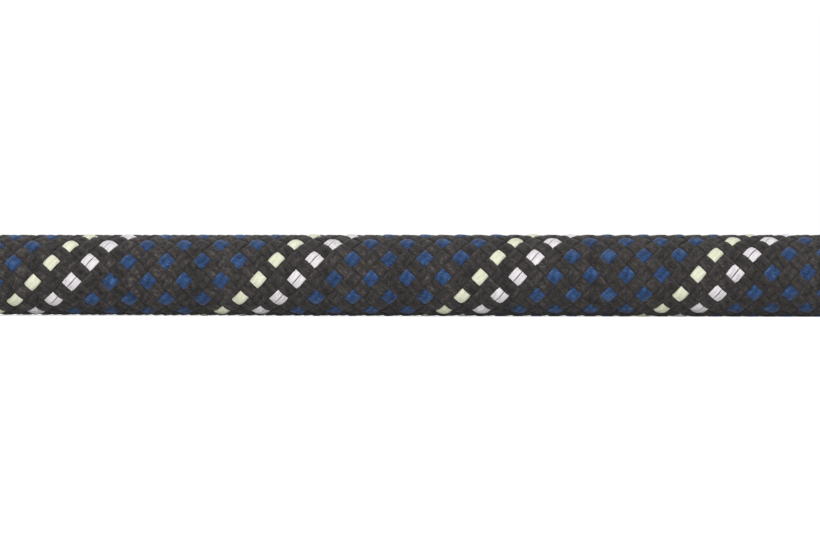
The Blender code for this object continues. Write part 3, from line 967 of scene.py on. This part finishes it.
def noise(tree, scale, stretch=(1.0, 1.0, 1.0)):
    """Noise over the object's own metres: scale is how many blobs a metre holds."""
    place = node(tree, "ShaderNodeTexCoord").outputs["Object"]
    scaled = node(tree, "ShaderNodeVectorMath", {0: place, 1: stretch}, operation="MULTIPLY").outputs[0]
    inputs = {"Vector": scaled, "Scale": scale, "Detail": 2.0, "Roughness": 0.55}
    return node(tree, "ShaderNodeTexNoise", inputs).outputs[0]


def mottled_finish(name, tones, scale, roughness, bump, stretch=(1.0, 1.0, 1.0), **constants):
    """A surface whose colour, gloss and relief all wander a little."""
    material, tree, shader = finish(name, roughness, **constants)
    grain = noise(tree, scale, stretch=stretch)
    tree.links.new(toned(tree, tones, grain), shader.inputs["Base Color"])
    uneven = calc(tree, "MULTIPLY_ADD", grain, GLOSS_WANDER, roughness - GLOSS_WANDER / 2)
    tree.links.new(uneven, shader.inputs["Roughness"])
    bumped(tree, shader, grain, distance=bump)
    return material


def webbing_finish():
    """Ribs along the band, woven over and under by turns, with painted shade in the weave's low places."""
    material, tree, shader = finish(
        "strap_webbing", roughness=0.75, Specular_IOR_Level=0.3, Sheen_Weight=0.12
    )
    place = node(tree, "ShaderNodeTexCoord").outputs["Object"]
    across = node(tree, "ShaderNodeSeparateXYZ", {0: place}).outputs[0]
    _, along = map_coordinates(tree)
    column = calc(tree, "DIVIDE", calc(tree, "SUBTRACT", across, HANK_X), RIB_PITCH)
    rib = calc(tree, "ABSOLUTE", calc(tree, "SINE", calc(tree, "MULTIPLY", column, pi)))
    rows = calc(tree, "DIVIDE", along, WEFT_PITCH)
    row = calc(tree, "MULTIPLY_ADD", calc(tree, "FLOOR", column), 0.5, rows)
    wave = calc(tree, "COSINE", calc(tree, "MULTIPLY", row, 2 * pi))
    weft = calc(tree, "MULTIPLY_ADD", wave, 0.5, 0.5)
    fibre = noise(tree, WEBBING_FIBRES)
    height = calc(tree, "MULTIPLY_ADD", rib, RIB_RELIEF, calc(tree, "MULTIPLY", weft, WEFT_RELIEF))
    # Painted shade: the colour follows the weave's height, darker low and lighter high.
    shade = calc(tree, "MULTIPLY_ADD", height, WEAVE_PAINTED_SHADE, calc(tree, "ADD", fibre, WEBBING_SHADE))
    tree.links.new(toned(tree, STRAP_TONES, shade), shader.inputs["Base Color"])
    relief = calc(tree, "MULTIPLY_ADD", fibre, WEBBING_FIBRE_RELIEF, height)
    bumped(tree, shader, relief, distance=0.0002)
    return material


def strand_finish():
    """Undyed nylon, twisted: light and dark lines slant along a strand, dark in the grooves as painted
    shade.
    """
    material, tree, shader = finish(
        "core_nylon", roughness=0.6, Specular_IOR_Level=0.35, Sheen_Weight=0.1
    )
    place = node(tree, "ShaderNodeTexCoord").outputs["Object"]
    inputs = {"Vector": place, "Scale": 260.0, "Distortion": 1.5, "Detail": 2.0}
    lines = node(tree, "ShaderNodeTexWave", inputs, bands_direction="DIAGONAL").outputs[1]
    # Painted shade: the colour follows the lines' height, darker in the grooves.
    tree.links.new(toned(tree, NYLON_TONES, lines), shader.inputs["Base Color"])
    bumped(tree, shader, lines, distance=0.0001)
    return material


# ---- the scene --------------------------------------------------------------------------

bpy.context.scene.view_settings.view_transform = "Standard"
add_camera()
add_surroundings()

plied = make_plied_yarn()
braid = make_braid()
cord, route, cord_length = add_cord(wound_cover_finish(braid, plied, JOIN_X - CORD_START_X))

random = Random(SEED)
black = yarn_finish("black_cover_yarn", plied, BLACK_TONES, width=0.0018)
blue = yarn_finish("blue_cover_yarn", plied, BLUE_TONES, width=0.0015, slant=1.29, sheen=0.16)
cream = yarn_finish(
    "cream_tape",
    plied,
    CREAM_TONES,
    width=0.0015,
    slant=0.05,
    roughness=0.6,
    gloss=0.4,
    relief=0.00006,
)
white = yarn_finish(
    "white_film", plied, FILM_TONES, width=0.0012, slant=0.0, roughness=0.4, gloss=0.4, relief=0.00004
)
broad_yarn = oval(width=0.00177, crown=0.00025, belly=0.00014, squareness=3.2)
slim_yarn = oval(width=0.00163, crown=0.00029, belly=0.00014, squareness=2.6)
flat_tape = oval(width=0.00146, crown=0.00028, belly=0.00010, squareness=2.2)
half_film = oval(width=0.00091, crown=0.00014, belly=0.00008, squareness=5.0)
first_half, second_half = range(CARRIERS // 2), range(CARRIERS // 2, CARRIERS)
yarns = [
    add_yarns("black_yarns_down_1", first_half, True, broad_yarn, black, random),
    add_yarns("black_yarns_down_2", second_half, True, broad_yarn, black, random),
    add_yarns("black_yarns_up", range(1, CARRIERS, 2), False, broad_yarn, black, random),
    add_yarns("blue_yarns", range(2, WHITE_NUMBER, 2), False, slim_yarn, blue, random),
    add_yarns("cream_tape", (CREAM_NUMBER,), False, flat_tape, cream, random, raised=TAPE_RAISED),
    add_yarns(
        "white_film",
        (WHITE_NUMBER,),
        False,
        half_film,
        white,
        random,
        raised=FILM_RAISED,
        asides=(-FILM_ASIDE, FILM_ASIDE),
        spread=FILM_SPREAD,
    ),
]
for piece in [cord, *yarns]:
    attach(piece, BODY)
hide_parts("sheath_stretch", "hank_outer_turns", "hank_core")

shrunk = mottled_finish(
    "shrunk_sleeve", SLEEVE_TONES, scale=900.0, roughness=0.42, bump=0.00004, Specular_IOR_Level=0.45
)
melted = mottled_finish(
    "melted_nylon", MELTED_TONES, scale=700.0, roughness=0.28, bump=0.0002, Specular_IOR_Level=0.6
)
free_tip = Vector((FREE_TIP_X, STRETCH_Y, ROPE_RADIUS))
wound_tip = Vector((WOUND_TIP_X, INNER_FOLD_RADIUS, TOP_LAYER_Z))
for prefix, tip in (("free_end", free_tip), ("wound_end", wound_tip)):
    sleeve_and_tip = add_end(prefix, tip, shrunk, melted, random)
    for piece, part, slot in zip(sleeve_and_tip, ("sleeve", "tip"), ("end_sleeve", "melted_tip")):
        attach(piece, BODY)
        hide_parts(f"{prefix}_{part}")

webbing = webbing_finish()
thread = mottled_finish(
    "sewing_thread", THREAD_TONES, scale=3000.0, roughness=0.6, bump=0.00005, stretch=(3.0, 0.6, 1.0)
)
strap = add_strap(route, webbing)
tab = add_tab(webbing)
stitches = add_stitches(thread, random)
for piece in (strap, tab, stitches):
    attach(piece, BODY)
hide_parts("tie_strap")
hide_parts("tie_hook_tab")

strand = strand_finish()
marker = mottled_finish(
    "marker_film", MARKER_TONES, scale=400.0, roughness=0.45, bump=0.00002, stretch=(0.1, 1.0, 1.0)
)
for name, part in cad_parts.items():
    if name.startswith("core_strand"):
        part.material_slots[0].material = strand
    elif name == "marker_tape":
        part.material_slots[0].material = marker

print(f"cord: {cord_length:.2f} m")
